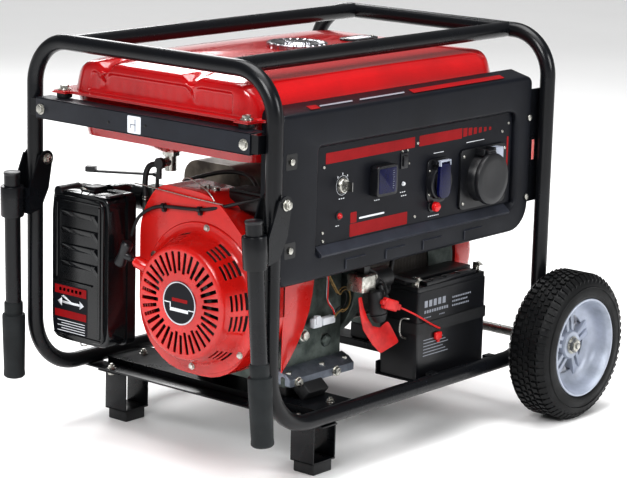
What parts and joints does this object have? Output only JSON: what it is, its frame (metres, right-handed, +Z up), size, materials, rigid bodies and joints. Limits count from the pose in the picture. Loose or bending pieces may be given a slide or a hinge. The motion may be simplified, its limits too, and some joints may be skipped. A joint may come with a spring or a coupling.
{
  "type": "portable generator",
  "caption": "Open-frame petrol generator on a tube frame with folding handles, fuel tank, control panel, battery and a pair of transport wheels.",
  "frame": {"origin": "centre of the overall bounding box at floor level", "axes": "+X along the length towards the wheels, +Y away from the control panel, +Z up"},
  "size_m": [0.8784, 0.696, 0.6547],
  "materials": {
    "frame_paint": "black semi-gloss powder coat on steel tube",
    "rubber": "matt black moulded rubber",
    "zinc": "bright zinc-plated steel",
    "tyre": "black tyre rubber",
    "rim_paint": "silver-grey painted pressed wheel",
    "tank_paint": "gloss red paint on pressed steel",
    "chrome": "bright chrome plating",
    "black_plastic": "black moulded plastic",
    "cast_aluminium": "as-cast aluminium, fine blasted grain",
    "steel": "machined steel",
    "red_paint": "gloss red paint",
    "element_foam": "pleated filter paper with foam",
    "silencer_steel": "heat-tinted steel",
    "black_paint": "satin black paint",
    "lamination_steel": "stacked steel laminations",
    "panel_plastic": "charcoal moulded plastic",
    "red_plastic": "red moulded plastic",
    "battery_case": "black polypropylene case",
    "red_rubber": "red cable jacket"
  },
  "bodies": {
    "generator": {"engine_end_hoop": "frame_paint", "wheel_end_hoop": "frame_paint", "top_rails": "frame_paint", "engine_cross_member": "frame_paint", "alternator_cross_member": "frame_paint", "tank_bars": "frame_paint", "foot_brackets": "frame_paint", "foot_pads": "rubber", "welded_brackets": "frame_paint", "frame_bolts": "zinc", "axle": "zinc", "tank_upper_shell": "tank_paint", "tank_lower_shell": "tank_paint", "rubber_mounts": "rubber", "fuel_gauge": "black_plastic", "fuel_cock": "zinc", "fuel_hose": "rubber", "engine_block": "cast_aluminium", "cylinder_head": "cast_aluminium", "rocker_cover": "cast_aluminium", "recoil_pulley": "black_plastic", "fan_shroud": "red_paint", "recoil_housing": "red_paint", "air_cleaner_cover": "black_plastic", "air_cleaner_base": "black_plastic", "air_cleaner_element": "element_foam", "intake_elbow": "black_plastic", "carburettor": "cast_aluminium", "silencer": "silencer_steel", "starter_motor": "black_paint", "stator": "lamination_steel", "alternator_end_bell": "cast_aluminium", "alternator_cover": "red_paint", "panel_bezel": "panel_plastic", "panel_faceplate": "panel_plastic", "ac_socket": "black_plastic", "heavy_socket": "black_plastic", "battery": "battery_case", "battery_strap": "rubber", "starter_lead": "red_rubber"},
    "crank_train": {"crankshaft": "steel", "flywheel_fan": "cast_aluminium", "rotor": "lamination_steel"},
    "near_wheel": {"near_tyre": "tyre", "near_rim": "rim_paint"},
    "far_wheel": {"far_tyre": "tyre", "far_rim": "rim_paint"},
    "near_handle": {"near_handle_arm": "frame_paint", "near_handle_grip": "rubber"},
    "far_handle": {"far_handle_arm": "frame_paint", "far_handle_grip": "rubber"},
    "fuel_cap": {"fuel_cap": "chrome"},
    "fuel_cock_lever": {"fuel_cock_lever": "black_plastic"},
    "choke_lever": {"choke_lever": "black_plastic"},
    "governor_lever": {"governor_lever": "zinc"},
    "recoil_grip": {"recoil_grip": "black_plastic"},
    "ignition_key": {"ignition_key": "steel"},
    "reset_button": {"reset_button": "red_plastic"},
    "ac_lid": {"ac_lid": "black_plastic"},
    "heavy_lid": {"heavy_lid": "black_plastic"}
  },
  "joints": [
    {"name": "crank_spin", "type": "hinge", "parent": "generator", "child": "crank_train", "pos_m": [-0.0763, -0.048, 0.264], "axis": [1, 0, 0], "continuous": true},
    {"name": "near_wheel_spin", "type": "hinge", "parent": "generator", "child": "near_wheel", "pos_m": [0.3147, -0.308, 0.1245], "axis": [0, 1, 0], "continuous": true},
    {"name": "far_wheel_spin", "type": "hinge", "parent": "generator", "child": "far_wheel", "pos_m": [0.3147, 0.308, 0.1245], "axis": [0, 1, 0], "continuous": true},
    {"name": "near_handle_fold", "type": "hinge", "parent": "generator", "child": "near_handle", "pos_m": [-0.3693, -0.25, 0.451], "axis": [0, 1, 0], "range_deg": [0, 80]},
    {"name": "far_handle_fold", "type": "hinge", "parent": "generator", "child": "far_handle", "pos_m": [-0.3693, 0.25, 0.451], "axis": [0, 1, 0], "range_deg": [0, 80]},
    {"name": "fuel_cap_lift", "type": "slide", "parent": "generator", "child": "fuel_cap", "axis": [0, 0, 1], "range_m": [0, 0.03]},
    {"name": "fuel_cock_turn", "type": "hinge", "parent": "generator", "child": "fuel_cock_lever", "pos_m": [-0.2963, 0.05, 0.46], "axis": [1, 0, 0], "range_deg": [-90, 0]},
    {"name": "choke_turn", "type": "hinge", "parent": "generator", "child": "choke_lever", "pos_m": [-0.2583, 0.096, 0.42], "axis": [0, 0, 1], "range_deg": [-8, 11]},
    {"name": "governor_turn", "type": "hinge", "parent": "generator", "child": "governor_lever", "pos_m": [-0.2153, -0.06, 0.39], "axis": [0, 0, 1], "range_deg": [-8, 8], "stiffness_Nm_per_rad": 0.05},
    {"name": "recoil_pull", "type": "slide", "parent": "generator", "child": "recoil_grip", "axis": [-0.94, 0, 0.3412], "range_m": [0, 0.06]},
    {"name": "key_turn", "type": "hinge", "parent": "generator", "child": "ignition_key", "pos_m": [-0.1963, -0.231, 0.452], "axis": [0, -1, 0], "range_deg": [-60, 60]},
    {"name": "reset_press", "type": "slide", "parent": "generator", "child": "reset_button", "axis": [0, 1, 0], "range_m": [0, 0.003], "stiffness_N_per_m": 300},
    {"name": "ac_lid_turn", "type": "hinge", "parent": "generator", "child": "ac_lid", "pos_m": [0.0387, -0.24, 0.46], "axis": [-1, 0, 0], "range_deg": [0, 100], "stiffness_Nm_per_rad": 0.01},
    {"name": "heavy_lid_turn", "type": "hinge", "parent": "generator", "child": "heavy_lid", "pos_m": [0.1597, -0.247, 0.465], "axis": [-1, 0, 0], "range_deg": [0, 100], "stiffness_Nm_per_rad": 0.03}
  ]
}
